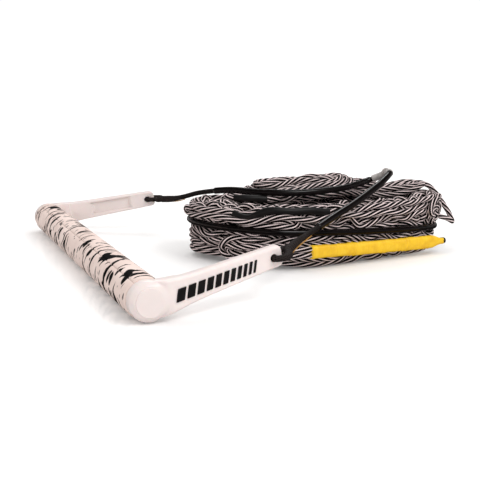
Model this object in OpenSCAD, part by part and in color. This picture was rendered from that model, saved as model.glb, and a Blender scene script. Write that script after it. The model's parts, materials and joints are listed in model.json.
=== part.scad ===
// Tow rope handle: foam-covered bar with two moulded arms, a spliced rope bridle,
// and the tow line coiled into a hank with a sleeved loop for the boat.
// The origin is on the ground under the middle of the bar. The bar runs along Y,
// the arms and the rope lie towards +X, and the line rests on the plane z = 0.

/* [Bar] */
// Overall width across the two arms
handle_w = 381; // [350:1:400]
// Outside diameter of the foam grip
grip_d = 28.4; // [27:0.1:30]
// Outside diameter of the aluminium tube
tube_d = 22; // [21:0.5:23]
// Wall of the aluminium tube
tube_wall = 1.6; // [1.4:0.1:2]
// Depth that each arm's spigot reaches into the tube
spigot_len = 32; // [26:1:45]

/* [Arms] */
// Distance from the bar's axis to the end of an arm
arm_len = 103.3; // [102:0.1:105]
// Thickness of an arm along its blade
arm_t = 9.6; // [9:0.1:10]
// Thickness of the hub that closes the bar
hub_t = 12.5; // [12:0.1:14]
// Angle that the arms rise from the ground while the bar rests on it
arm_tilt = 11; // [10:0.5:12]
// Angle that each arm leans in towards the middle
arm_splay = 16.8; // [15:0.1:18]
// Distance from the bar's axis to the rope hole
eye_a = 96; // [95:0.1:97]
// Radius of the rope hole
eye_r = 2.8; // [2.6:0.1:3]
// Number of slanted bars in the raised stripe motif
stripe_count = 11; // [5:1:14]

/* [Bridle] */
// Diameter of the bare bridle rope
bridle_d = 4.4; // [4:0.1:4.6]
// Outside diameter of the smooth sheath on the bridle
sheath_d = 5.9; // [5.4:0.1:6]
// Diameter of the thick part of an eye splice
splice_d = 6.4; // [6:0.1:7]

/* [Line] */
// Diameter of the tow line
line_d = 4.8; // [4.4:0.1:4.9]
// Distance between neighbouring turns of the hank
turn_pitch = 5.4; // [5.4:0.1:5.6]
// Angle of the hank's long side to the X axis
hank_angle = 15; // [13:1:17]
// Length of the sleeved loop at the boat end
tail_len = 160; // [150:1:165]

/* [Hidden] */
$fn = 48;
eps = 0.05;

grip_r = grip_d / 2;
tube_r = tube_d / 2;
bore_r = tube_r - tube_wall;
tube_len = handle_w - 2 * hub_t;
hub_r = 13.2;
hub_face_r = 9.5;
hub_bevel = 3.2;
hub_step = 0.6;
bend_from = 8;
bend_to = 14;
bend_a = (bend_from + bend_to) / 2;
blade_y = arm_t / cos(arm_splay);
spigot_r = bore_r - eps;
pin_r = 1.5;
pin_y = spigot_len / 2;
seal_y = spigot_len - 7;
seal_r = 0.85;
tip_half = 7.3;
tip_round = 3.5;
pocket_a = 60;
pocket_half = 5.5;
pocket_depth = 3;
stripe_first_a = 18;
stripe_wide = 6.2;
stripe_narrow = 1.6;
stripe_gap = 2.2;
stripe_proud = 0.8;
stripe_depth = 0.5;
bridle_r = bridle_d / 2;
sheath_r = sheath_d / 2;
apex_sleeve_r = sheath_r + 0.3;
splice_r = splice_d / 2;
stitch_r = 0.5;
line_r = line_d / 2;

// Centre of each rope hole, which is also the axis that the handle swings about
eye = [eye_a * cos(arm_tilt), grip_r + eye_a * sin(arm_tilt)];
outer_y = handle_w / 2 - (eye_a - bend_a) * tan(arm_splay);
inner_y = outer_y - blade_y;

// ---------- rope helpers ----------

function spline_point(a, b, c, d, t) =
    0.5 * (2 * b + (c - a) * t + (2 * a - 5 * b + 4 * c - d) * t * t
    + (3 * b - a - 3 * c + d) * t * t * t);

// Smooth curve through the points of p, with n steps between neighbours
function smooth(p, n) = [
    for (i = [0 : len(p) - 2], k = [0 : n - 1])
        spline_point(p[max(i - 1, 0)], p[i], p[i + 1], p[min(i + 2, len(p) - 1)], k / n),
    p[len(p) - 1]
];

function unit(v) = v / norm(v);

function along(p, i, t) = p[i] + t * (p[i + 1] - p[i]);

function flip_y(p) = [for (q = p) [q[0], -q[1], q[2]]];

function shift(p, v) = [for (q = p) q + v];

function backwards(p) = [for (i = [len(p) - 1 : -1 : 0]) p[i]];

// Points of p from share t0 of span first to share t1 of span end
function stretch(p, first, t0, end, t1) =
    concat([along(p, first, t0)], [for (i = [first + 1 : end]) p[i]], [along(p, end, t1)]);

function heading(p, i) = unit(p[min(i + 1, len(p) - 1)] - p[max(i - 1, 0)]);

function square_to(v, t) = unit(v - (v * t) * t);

// Directions square to the path that turn as little as they can from point to point
function side_vectors(p) = [
    for (i = 0, n = square_to([0, 0, 1], heading(p, 0)); i < len(p);
        i = i + 1, n = i < len(p) ? square_to(n, heading(p, i)) : n) n
];

function ring(c, t, n, r, sides) = [
    for (k = [0 : sides - 1])
        c + r * (cos(360 * k / sides) * n + sin(360 * k / sides) * cross(t, n))
];

// Two triangles for each side between one ring of points and the next
function wall(from, to, sides) = [
    for (k = [0 : sides - 1]) each [
        [from + k, from + (k + 1) % sides, to + (k + 1) % sides],
        [from + k, to + (k + 1) % sides, to + k]
    ]
];

// Rope along path p, with a radius for each of its points
module rope(p, radii, sides = 12) {
    n = side_vectors(p);
    last = len(p) - 1;
    points = [for (i = [0 : last]) each ring(p[i], heading(p, i), n[i], radii[i], sides)];
    walls = [for (i = [0 : last - 1]) each wall(i * sides, (i + 1) * sides, sides)];
    start = [for (k = [1 : sides - 2]) [0, k + 1, k]];
    end = [for (k = [1 : sides - 2]) [last * sides, last * sides + k, last * sides + k + 1]];
    polyhedron(points, [for (f = concat(walls, start, end)) [f[0], f[2], f[1]]]);
}

// Tube along path p with an outer and an inner radius
module tube(p, outer, inner, sides = 12) {
    n = side_vectors(p);
    last = len(p) - 1;
    half = len(p) * sides;
    points = concat(
        [for (i = [0 : last]) each ring(p[i], heading(p, i), n[i], outer, sides)],
        [for (i = [0 : last]) each ring(p[i], heading(p, i), n[i], inner, sides)]
    );
    outside = [for (i = [0 : last - 1]) each wall(i * sides, (i + 1) * sides, sides)];
    inside = [for (i = [0 : last - 1]) each wall(half + (i + 1) * sides, half + i * sides, sides)];
    start = wall(half, 0, sides);
    end = wall(last * sides, half + last * sides, sides);
    polyhedron(points, [for (f = concat(outside, inside, start, end)) [f[0], f[2], f[1]]]);
}

function same(r, p) = [for (q = p) r];

// ---------- bar ----------

module along_bar(from, length) {
    translate([0, from, grip_r]) rotate([-90, 0, 0]) linear_extrude(length) children();
}

module core_tube() {
    color("silver")
    difference() {
        along_bar(-tube_len / 2, tube_len) difference() {
            circle(tube_r);
            circle(bore_r);
        }
        for (side = [-1, 1]) pin_hole(side, pin_r + eps);
    }
}

module grip_foam() {
    gap = 0.2;
    color("mistyrose")
    along_bar(gap - tube_len / 2, tube_len - 2 * gap) difference() {
        circle(grip_r);
        circle(tube_r + eps);
    }
}

module float_core() {
    end_gap = 2;
    length = tube_len - 2 * spigot_len - 2 * end_gap;
    color("whitesmoke") along_bar(-length / 2, length) circle(bore_r - 2 * eps);
}

module pin_hole(side, r) {
    translate([0, side * (tube_len / 2 - pin_y), grip_r]) cylinder(h = 2 * tube_r, r = r, center = true);
}

module spring_pin(side) {
    recess = 0.3;
    color("dimgray")
    translate([0, side * (tube_len / 2 - pin_y), grip_r]) difference() {
        cylinder(h = 2 * (tube_r - recess), r = pin_r, center = true);
        cylinder(h = 2 * tube_r, r = pin_r / 2, center = true);
    }
}

module near_pin() { spring_pin(-1); }

module far_pin() { spring_pin(1); }

module seal_ring() {
    color("black")
    on_near_arm(0) translate([0, hub_t + seal_y, 0]) rotate([90, 0, 0])
        rotate_extrude() translate([spigot_r - seal_r, 0]) circle(seal_r);
}

module near_seal() { seal_ring(); }

module far_seal() { mirror([0, 1, 0]) seal_ring(); }

// ---------- arms ----------
// In an arm's own frame X runs from the hub to the tip, Y inwards from the hub's outer
// face, and Z across the blade.

module on_near_arm(tilt) {
    translate([0, -handle_w / 2, grip_r]) rotate([0, -tilt, 0]) children();
}

function arc(c, r, a0, a1, n) = [
    for (i = [0 : n]) c + r * [cos(a0 + (a1 - a0) * i / n), sin(a0 + (a1 - a0) * i / n)]
];

// Side outline of the blade, wide at the hub and narrow at the tip
module blade_side() {
    top = [[0, 11.6], [14, 11.2], [21, 10.3], [30, 9.4], [45, 8.8], [70, 8.1]];
    corner = [arm_len - tip_round, tip_half - tip_round];
    half = concat(top, arc(corner, tip_round, 90, 0, 6));
    polygon(concat(half, [for (i = [len(half) - 1 : -1 : 0]) [half[i][0], -half[i][1]]]));
}

// Depth of the outer face below the hub's outer face at distance a
function outer_face(a) =
    a < bend_from ? hub_step
    : a < bend_to ? hub_step + pow(a - bend_from, 2) / (2 * (bend_to - bend_from)) * tan(arm_splay)
    : hub_step + (a - bend_a) * tan(arm_splay);

// Depth of the inner face along the straight stretch of the blade
function inner_face(a) = outer_face(a) + blade_y - hub_step;

module blade_plan() {
    past_tip = arm_len + 1;
    outer = [for (a = [0, 8, 10, 12, 14, past_tip]) [a, outer_face(a)]];
    inner = [[past_tip, inner_face(past_tip)], [22, hub_t + 2.2], [14, hub_t], [0, hub_t]];
    polygon(concat(outer, inner));
}

module hub() {
    rotate([-90, 0, 0]) {
        cylinder(h = hub_t, r = hub_face_r);
        translate([0, 0, hub_step]) cylinder(h = hub_bevel, r1 = hub_face_r + 0.6, r2 = hub_r);
        translate([0, 0, hub_step + hub_bevel]) cylinder(h = hub_t - hub_step - hub_bevel, r = hub_r);
    }
}

module spigot() {
    root = 2;
    rotate([-90, 0, 0]) translate([0, 0, hub_t - root]) difference() {
        cylinder(h = spigot_len + root, r = spigot_r);
        translate([0, 0, seal_y + root]) rotate_extrude()
            translate([spigot_r - 2 * seal_r - eps, -1]) square([4, 2]);
    }
}

// Recess in the inner face that ends against the round boss of the rope hole
module pocket() {
    back = 16;
    boss = 27;
    translate([pocket_a, inner_face(pocket_a), 1]) rotate([0, 0, arm_splay])
        translate([0, -pocket_depth, 0]) rotate([-90, 0, 0]) linear_extrude(pocket_depth + 5) difference() {
            union() {
                translate([-back, -pocket_half]) square([back + 22, 2 * pocket_half]);
                translate([-back, 0]) circle(pocket_half);
            }
            translate([boss, 0]) circle(9);
        }
}

function stripe_w(i) = stripe_wide - (stripe_wide - stripe_narrow) * i / (stripe_count - 1);

function stripe_a(i) = i == 0 ? 0 : stripe_a(i - 1) + stripe_w(i - 1) + stripe_gap;

// Row of slanted bars on the outer face, widest at the hub
module stripes(grow, from, to) {
    half_h = 4 + grow;
    lean = 3;
    translate([stripe_first_a, outer_face(stripe_first_a), -0.6]) rotate([0, 0, arm_splay])
        rotate([90, 0, 0]) translate([0, 0, from]) linear_extrude(to - from)
            for (i = [0 : stripe_count - 1]) translate([stripe_a(i), 0])
                polygon([[-grow - lean / 2, -half_h], [stripe_w(i) + grow - lean / 2, -half_h],
                    [stripe_w(i) + grow + lean / 2, half_h], [-grow + lean / 2, half_h]]);
}

module arm() {
    color("seashell")
    difference() {
        union() {
            on_near_arm(arm_tilt) {
                intersection() {
                    translate([0, 60, 0]) rotate([90, 0, 0]) linear_extrude(80) blade_side();
                    translate([0, 0, -20]) linear_extrude(40) blade_plan();
                }
                hub();
            }
            on_near_arm(0) spigot();
        }
        translate([eye[0], -outer_y - 10, eye[1]]) rotate([-90, 0, 0]) cylinder(h = 30, r = eye_r);
        on_near_arm(arm_tilt) pocket();
        on_near_arm(arm_tilt) stripes(eps, -stripe_depth - eps, 1);
        pin_hole(-1, pin_r + eps);
    }
}

module near_arm() { arm(); }

module far_arm() { mirror([0, 1, 0]) arm(); }

module near_stripes() {
    color("black") on_near_arm(arm_tilt) stripes(0, -stripe_depth, stripe_proud);
}

module far_stripes() { mirror([0, 1, 0]) near_stripes(); }

// ---------- bridle ----------
// One rope runs from the near eye, round the apex and back to the far eye.

near_points = [
    [112, -147, 33.3], [130, -123, 34.5], [154, -100, 37.7], [185, -77, 45],
    [215, -60, 54], [246, -42, 65.6], [263, -29, 72.4]
];
apex_points = [[272, -15, 73], [275, -5, 71.3], [273, 6, 67]];
far_points = [
    [266, 12, 63], [251, 6, 60.5], [228, -3, 58], [187, -8, 56], [152, 4, 56.3],
    [134, 26, 56], [120, 63, 49.8], [114.5, 93, 42.7], [111, 121, 37], [106.5, 142, 34.2]
];
steps = 2;
bridle_path = smooth(concat(near_points, apex_points, far_points), steps);
spans = len(bridle_path) - 1;
splice_span = 3;
near_sheath_end = 11;
far_sheath_start = spans - 17;
far_sheath_end = spans - 7;
apex = apex_points[1];
joint_gap = 0.01;

// Corners of the rope loop through the hole in the near arm, from the crotch to its tail
function eye_loop(front, tail) = [
    front,
    [eye[0] + 8.3, -outer_y - 3.6, eye[1] + 0.6],
    [eye[0] + 2.8, -outer_y - 4.4, eye[1] + 0.2],
    [eye[0], -outer_y - 2.4, eye[1]],
    [eye[0], -inner_y + 2.6, eye[1]],
    [eye[0] + 2.6, -inner_y + 5, eye[1] + 0.2],
    [eye[0] + 7.3, -inner_y + 5.6, eye[1] + 0.4],
    tail
];

// The thick stretch with the rope's tail inside it, and the loop beyond it
module eye_splice(p, front, tail) {
    thick = backwards(stretch(p, 1, 0.1, splice_span, 0.5 - joint_gap));
    thin = smooth(concat([along(p, 0, 0.6), p[0]], eye_loop(front, tail)), 3);
    color("#1b1918") rope(concat(thick, thin), concat(same(splice_r, thick), same(bridle_r, thin)));
}

module near_eye_splice() {
    eye_splice(bridle_path, [107.3, -159.8, eye[1] + 0.9], [111.5, -140, eye[1] + 0.8]);
}

module far_eye_splice() {
    mirror([0, 1, 0]) eye_splice(
        flip_y(backwards(bridle_path)), [108.3, -157, eye[1] + 0.8], [101.8, -140.5, eye[1] + 1.4]
    );
}

module bridle_rope() {
    p = stretch(bridle_path, splice_span, 0.5 + joint_gap, spans - splice_span - 1, 0.5 - joint_gap);
    color("#242120") rope(p, same(bridle_r, p));
}

// Thread that locks a splice, laid along its underside
module lock_stitch(p) {
    drop = splice_r + 2 * stitch_r + 0.1;
    thread = shift(stretch(p, 1, 0.2, splice_span, 0.48), [0, 0, -drop]);
    color("darkorange") rope(thread, same(stitch_r, thread), 6);
}

module near_lock_stitch() { lock_stitch(bridle_path); }

module far_lock_stitch() { lock_stitch(backwards(bridle_path)); }

// Tube with the rope running through it
module sheath(r, first, end) {
    tube(stretch(bridle_path, first, 0.5 + joint_gap, end, 0.5 - joint_gap), r, bridle_r + 2 * eps);
}

module near_sheath() { color("black") sheath(sheath_r, splice_span + 1, near_sheath_end); }

module far_sheath() { color("black") sheath(sheath_r, far_sheath_start, far_sheath_end); }

module apex_sleeve() {
    color("lightgray") sheath(apex_sleeve_r, near_sheath_end, far_sheath_start);
}

// ---------- hank ----------
// In the hank's own frame X runs along its length and Y across it.

hank_pos = [224, 7.5];
hank_half = 118;

function in_hank(a, b, z) = [
    hank_pos[0] + a * cos(hank_angle) - b * sin(hank_angle),
    hank_pos[1] + a * sin(hank_angle) + b * cos(hank_angle),
    z
];

module on_hank() {
    translate([hank_pos[0], hank_pos[1], 0]) rotate([0, 0, hank_angle]) children();
}

// Half of a closed turn: one end arc and one long side
module half_turn(half_len, half_wid, r) {
    side = half_len - half_wid;
    translate([side, 0, 0]) rotate([0, 0, -90]) rotate_extrude(angle = 180)
        translate([half_wid, 0]) circle(r);
    translate([-side, half_wid, 0]) rotate([0, 90, 0]) cylinder(h = 2 * side, r = r);
}

module turn(half_len, half_wid, r) {
    half_turn(half_len, half_wid, r);
    rotate([0, 0, 180]) half_turn(half_len, half_wid, r);
}

// Turns laid side by side in each of several layers
module turns(z, layers, half_len, half_wid, columns) {
    for (k = [0 : layers - 1], c = [0 : columns - 1])
        translate([0, 0, z + k * turn_pitch])
            turn(half_len - c * turn_pitch, half_wid - c * turn_pitch, line_r);
}

function layer_z(k) = line_r + k * turn_pitch;

lower_wid = 55.5;
middle_len = hank_half - 4;
upper_wid = 53;
wide_columns = 5;
crown_shift = [22, 28, 0];

module lower_turns() {
    color("#4a4444") on_hank() turns(layer_z(0), 2, hank_half, lower_wid, wide_columns);
}

module middle_turns() {
    color("#5d5555") on_hank() {
        turns(layer_z(2), 2, middle_len, 43, 3);
        turns(layer_z(4), 3, middle_len, 47, 3);
    }
}

module upper_turns() {
    color("#706767") on_hank() turns(layer_z(7), 2, hank_half, upper_wid, wide_columns);
}

module crown_turns() {
    color("#847979") on_hank() translate(crown_shift) turns(layer_z(9), 3, 75, 18, 2);
}

// Stretch of line in a smooth black coating, wrapped round the hank between its layers
module coated_turn() {
    slope = 2.4;
    color("black") on_hank() translate([0, 0, 27]) rotate([0, slope, 0])
        turn(hank_half + 3, upper_wid - 0.4, line_r + 0.5);
}

module loose_turn() {
    p = smooth([
        in_hank(70, 2, 53), in_hank(97, -6, 61), in_hank(118, -18, 57), in_hank(125, -34, 36),
        in_hank(125, -43, 24), in_hank(116, -46, 24), in_hank(109, -41, 30)
    ], 3);
    color("#6a6161") rope(p, same(line_r, p));
}

// Cord loop that ties the line to the apex of the bridle
module link_loop() {
    cord_r = 1.5;
    ring_r = apex_sleeve_r + 1 + cord_r;
    stem = 14;
    color("#1b1918") translate(apex) {
        rotate([90, 0, 0]) rotate_extrude() translate([ring_r, 0]) circle(cord_r);
        translate([0, 0, -ring_r - stem]) cylinder(h = stem, r = cord_r);
    }
}

id_outer_r = line_r + 0.55;

// Dark sleeve round one long side of a turn
module id_sleeve(half_wid, from, to, side) {
    translate([from, side * half_wid, 0]) rotate([0, 90, 0]) difference() {
        cylinder(h = to - from, r = id_outer_r);
        translate([0, 0, -1]) cylinder(h = to - from + 2, r = line_r + eps);
    }
}

module id_sleeve_front() {
    color("#151515") on_hank() translate([0, 0, layer_z(8)]) id_sleeve(upper_wid, -62, -14, -1);
}

module id_sleeve_left() {
    color("#151515") on_hank() translate([0, 0, layer_z(8)])
        id_sleeve(upper_wid - (wide_columns - 1) * turn_pitch, -60, -34, 1);
}

// Dark sleeve that follows the end arc of a turn
module id_sleeve_right() {
    color("#151515") on_hank() translate([hank_half - upper_wid, 0, layer_z(8)])
        rotate([0, 0, -62]) rotate_extrude(angle = 60) translate([upper_wid, 0]) difference() {
            circle(id_outer_r);
            circle(line_r + eps);
        }
}

// ---------- boat end ----------

tail_z = 13.2;
tail_start = in_hank(-75, -62.5, tail_z);
tail_end = in_hank(85, -65, tail_z);
tail_angle = atan2(tail_end[1] - tail_start[1], tail_end[0] - tail_start[0]);
strand_gap = line_r + 0.12;

// Two strands that leave the hank and run to the start of the sleeved loop
module tail_lead() {
    p = smooth([
        in_hank(-110, -39, tail_z), in_hank(-101, -50, tail_z),
        in_hank(-89, -59, tail_z), in_hank(-77.7, -62.4, tail_z)
    ], 3);
    color("#6a6161") for (s = [-1, 1]) translate([0, 0, s * strand_gap]) rope(p, same(line_r, p));
}

module on_tail() {
    translate(tail_start) rotate([0, 0, tail_angle]) children();
}

// Loop that goes over the boat's pylon: two strands and the bight that joins them
module pylon_loop() {
    r = line_r - 0.1;
    bight = tail_len - r - strand_gap;
    color("#1b1918") on_tail() {
        for (s = [-1, 1])
            translate([0, 0, s * strand_gap]) rotate([0, 90, 0]) cylinder(h = bight, r = r);
        translate([bight, 0, 0]) rotate([90, 0, 0]) rotate([0, 0, -90]) rotate_extrude(angle = 180)
            translate([strand_gap, 0]) circle(r);
    }
}

// Bar with flat sides and round edges
module flat_bar(length, height, thick) {
    rotate([0, 90, 0]) linear_extrude(length) union() {
        for (s = [-1, 1]) translate([s * (height - thick) / 2, 0]) circle(thick / 2);
        square([height - thick, thick], center = true);
    }
}

// Coated sleeve over both strands of the loop
module loop_sleeve() {
    start = 5;
    length = tail_len - 6 - start;
    tall = 4 * line_r + 2;
    thick = 2 * line_r + 2;
    wall = 0.8;
    color("gold") on_tail() difference() {
        translate([start, 0, 0]) flat_bar(length, tall, thick);
        translate([start - 1, 0, 0]) flat_bar(length + 2, tall - 2 * wall, thick - 2 * wall);
    }
}

core_tube();
grip_foam();
float_core();
near_arm();
far_arm();
near_seal();
far_seal();
near_pin();
far_pin();
near_stripes();
far_stripes();
bridle_rope();
near_eye_splice();
far_eye_splice();
near_lock_stitch();
far_lock_stitch();
near_sheath();
far_sheath();
apex_sleeve();
lower_turns();
middle_turns();
upper_turns();
crown_turns();
coated_turn();
loose_turn();
tail_lead();
link_loop();
id_sleeve_front();
id_sleeve_left();
id_sleeve_right();
loop_sleeve();
pylon_loop();
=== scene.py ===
import json
import math

import bmesh
import bpy
import numpy as np
from mathutils import Matrix, Vector, kdtree


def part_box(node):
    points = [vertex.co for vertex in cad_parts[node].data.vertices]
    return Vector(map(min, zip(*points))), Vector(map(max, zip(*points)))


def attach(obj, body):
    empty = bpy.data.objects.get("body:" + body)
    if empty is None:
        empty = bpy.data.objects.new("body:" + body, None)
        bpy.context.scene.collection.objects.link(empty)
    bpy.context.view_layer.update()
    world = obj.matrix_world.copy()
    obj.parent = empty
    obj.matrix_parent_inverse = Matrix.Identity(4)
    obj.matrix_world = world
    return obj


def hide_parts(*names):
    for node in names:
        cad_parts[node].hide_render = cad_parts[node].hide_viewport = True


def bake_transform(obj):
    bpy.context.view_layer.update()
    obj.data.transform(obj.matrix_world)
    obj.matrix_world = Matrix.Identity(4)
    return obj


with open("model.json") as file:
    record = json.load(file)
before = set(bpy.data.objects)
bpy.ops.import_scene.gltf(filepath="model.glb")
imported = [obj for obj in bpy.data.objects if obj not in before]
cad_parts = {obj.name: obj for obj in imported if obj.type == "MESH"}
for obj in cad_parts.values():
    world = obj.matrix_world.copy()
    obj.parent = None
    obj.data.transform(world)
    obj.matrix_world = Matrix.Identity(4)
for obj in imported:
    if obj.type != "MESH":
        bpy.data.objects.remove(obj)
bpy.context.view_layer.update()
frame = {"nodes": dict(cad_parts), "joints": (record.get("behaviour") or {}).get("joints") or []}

# Tow rope handle: foam grip on a bar, two moulded arms, a braided bridle, and a hank of line
# with a sleeved loop. Every mesh is worked out in millimetres in the CAD frame, then scaled.

MM = 0.001


def box_mm(node):
    """Lower and upper corner of a CAD node."""
    lo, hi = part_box(node)
    return np.array(lo) / MM, np.array(hi) / MM


def joint_mm(name):
    """Place of a joint."""
    return next(np.array(j["pos_m"]) / MM for j in frame["joints"] if j["name"] == name)


def from_hank(points):
    """Points of the frame from hank coordinates: a along the hank, b across it, z up."""
    c, s = math.cos(HANK_ANGLE), math.sin(HANK_ANGLE)
    a, b, z = np.moveaxis(np.asarray(points, float), -1, 0)
    return np.stack([HANK_POS[0] + a * c - b * s, HANK_POS[1] + a * s + b * c, z], axis=-1)


def to_hank(points):
    """Hank coordinates of points of the frame."""
    c, s = math.cos(HANK_ANGLE), math.sin(HANK_ANGLE)
    x, y = points[:, 0] - HANK_POS[0], points[:, 1] - HANK_POS[1]
    return np.stack([x * c + y * s, -x * s + y * c, points[:, 2]], axis=1)


# ---------- driving dimensions, in millimetres and radians ----------

GRIP_LO, GRIP_HI = box_mm("grip_foam")
GRIP_R = (GRIP_HI[2] - GRIP_LO[2]) / 2
GRIP_SEAM = math.radians(125)
GRIP_SEAM_ARC = (math.pi / 2 - GRIP_SEAM) * GRIP_R
TUBE_R = 11.0
HALF_W = -box_mm("near_arm")[0][1]
ARM_TILT = math.radians(11)
ARM_SPLAY = math.radians(16.8)
ARM_LEN = 103.3
BLADE_Y = 9.6 / math.cos(ARM_SPLAY)
HUB_R = 13.2
HUB_T = 12.5
HUB_FACE_R = 9.5
HUB_STEP = 0.6
BEND_FROM, BEND_TO = 8, 14
BEND = (BEND_FROM + BEND_TO) / 2
EYE = joint_mm("handle_swing")
EYE_A = 96.0
EYE_R = 2.8
OUTER_Y = HALF_W - (EYE_A - BEND) * math.tan(ARM_SPLAY)
INNER_Y = OUTER_Y - BLADE_Y
CORD_R = 2.2
SHEATH_R = 2.95
SPLICE_R = 3.2
SLEEVE_R = 2.85
LINE_R = 2.4
LINE_LOBES = 5
HANK_POS = (224.0, 7.5)
HANK_ANGLE = math.radians(15)
TAIL_START = joint_mm("boat_loop_swing") + [0, 0, 2.6]
TAIL_END = from_hank((85, -65, TAIL_START[2] - 4.2))
TAIL_LEN = 160.0
TAIL_DIR = (TAIL_END - TAIL_START) / np.linalg.norm(TAIL_END - TAIL_START)
TAIL_SIDE = np.array([-TAIL_DIR[1], TAIL_DIR[0], 0])


# ---------- mesh helpers ----------

def make_object(name, verts, faces, material, uvs=None):
    """Mesh object from points in millimetres; uvs has one pair for each face corner."""
    mesh = bpy.data.meshes.new(name)
    corners = np.concatenate([f.ravel() for f in faces]).astype(np.int32)
    sizes = np.concatenate([np.full(len(f), f.shape[1]) for f in faces])
    starts = np.concatenate([[0], np.cumsum(sizes)[:-1]]).astype(np.int32)
    mesh.vertices.add(len(verts))
    mesh.vertices.foreach_set("co", (np.asarray(verts, float) * MM).astype(np.float32).ravel())
    mesh.loops.add(len(corners))
    mesh.loops.foreach_set("vertex_index", corners)
    mesh.polygons.add(len(sizes))
    mesh.polygons.foreach_set("loop_start", starts)
    mesh.update(calc_edges=True)
    mesh.polygons.foreach_set("use_smooth", np.full(len(sizes), True))
    if uvs is not None:
        layer = mesh.uv_layers.new(name="strand")
        layer.data.foreach_set("uv", np.concatenate(uvs).astype(np.float32).ravel())
    mesh.validate()
    obj = bpy.data.objects.new(name, mesh)
    bpy.context.scene.collection.objects.link(obj)
    obj.data.materials.append(MATERIALS[material])
    return obj


def finish_piece(obj, body, slot, *nodes):
    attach(obj, body)
    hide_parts(*nodes)


def shell(name, mesh, material, body, *nodes, slot=None):
    """One finished piece from the points, faces and strand coordinates of its mesh."""
    verts, faces, uvs = mesh
    finish_piece(make_object(name, verts, faces, material, uvs), body, slot or material, *nodes)


def merged(meshes):
    """Several shells as one mesh."""
    verts, faces, uvs, count = [], [], [], 0
    for v, f, u in meshes:
        verts.append(v)
        faces += [quad + count for quad in f]
        uvs += u
        count += len(v)
    return np.concatenate(verts), faces, uvs


def unit(v):
    return v / np.maximum(np.linalg.norm(v, axis=-1, keepdims=True), 1e-9)


def catmull(points, steps, closed=False):
    """Smooth path through points, with a number of steps from each one to the next."""
    p = np.asarray(points, float)
    n = len(p)
    t = (np.arange(steps) / steps)[:, None]
    out = []
    for i in range(n if closed else n - 1):
        if closed:
            a, b, c, d = p[i - 1], p[i], p[(i + 1) % n], p[(i + 2) % n]
        else:
            a, b, c, d = p[max(i - 1, 0)], p[i], p[i + 1], p[min(i + 2, n - 1)]
        out.append(0.5 * (2 * b + (c - a) * t + (2 * a - 5 * b + 4 * c - d) * t ** 2
                          + (3 * b - a - 3 * c + d) * t ** 3))
    if not closed:
        out.append(p[-1:])
    return np.concatenate(out)


def lengths(path, closed=False):
    """Distance along the path to each of its points."""
    ends = np.roll(path, -1, axis=0) if closed else path[1:]
    steps = np.linalg.norm(ends - path[:len(ends)], axis=1)
    return np.concatenate([[0], np.cumsum(steps)])


def resample(path, step, closed=False):
    """The same path with points that lie about step apart."""
    s = lengths(path, closed)
    full = np.vstack([path, path[:1]]) if closed else path
    n = max(int(round(s[-1] / step)), 3)
    at = np.linspace(0, s[-1], n + 1)[:n if closed else n + 1]
    return np.stack([np.interp(at, s, full[:, k]) for k in range(3)], axis=1)


def side_vectors(path, closed):
    """Directions square to the path that turn as little as they can, and each point's heading."""
    if closed:
        t = unit(np.roll(path, -1, axis=0) - np.roll(path, 1, axis=0))
    else:
        t = unit(np.gradient(path, axis=0))
    n = np.zeros_like(path)
    v = np.array([0, 0, 1.0])
    for i in range(len(path)):
        v = v - v.dot(t[i]) * t[i]
        v = v / max(np.linalg.norm(v), 1e-9)
        n[i] = v
    if closed:
        v = n[-1] - n[-1].dot(t[0]) * t[0]
        v = v / np.linalg.norm(v)
        turn = math.atan2(np.cross(v, n[0]).dot(t[0]), v.dot(n[0]))
        angle = np.arange(len(path)) / len(path) * turn
        n = n * np.cos(angle)[:, None] + np.cross(t, n) * np.sin(angle)[:, None]
    return n, t


def around_ring(sides):
    """Numbers of the points round a ring, and of the point after each one."""
    k = np.arange(sides)
    return k, (k + 1) % sides


def ring_faces(rings, sides, closed=False):
    """Faces between rings of points. The last ring of a closed tube joins the first."""
    k, k2 = around_ring(sides)
    rows = np.arange(rings if closed else rings - 1)[:, None]
    i, j = rows * sides, (rows + 1) % rings * sides
    return np.stack([i + k, i + k2, j + k2, j + k], axis=2).reshape(-1, 4)


def revolved(r, y, phi, z=0.0):
    """Points at radius r from an axis along Y, at a height z."""
    return np.stack([r * np.cos(phi), y + 0 * phi, z + r * np.sin(phi)], axis=-1).reshape(-1, 3)


def tube_skin(rings, s, closed, tips=None):
    """Points, faces and strand coordinates over rings of points. s is the place of each ring along
    the strand. An open tube is closed by a fan round each of its two tips."""
    count, sides = rings.shape[:2]
    rows = count if closed else count - 1
    k, k2 = around_ring(sides)
    u0, u1, v0 = np.broadcast_arrays(s[:rows, None], s[1:rows + 1, None], k / sides)
    v1 = v0 + 1 / sides
    uvs = [np.stack([u0, v0, u0, v1, u1, v1, u1, v0], axis=2).reshape(-1, 2)]
    verts, faces = rings.reshape(-1, 3), [ring_faces(count, sides, closed)]
    if not closed:
        tip, last = len(verts), (count - 1) * sides
        verts = np.vstack([verts, tips])
        for middle, a, b, at in ((tip, k2, k, s[0]), (tip + 1, last + k, last + k2, s[-1])):
            faces.append(np.stack([np.full(sides, middle), a, b], axis=1))
            uvs.append(np.repeat(np.stack([np.full(sides, at), k / sides], axis=1), 3, axis=0))
    return verts, faces, uvs


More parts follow.
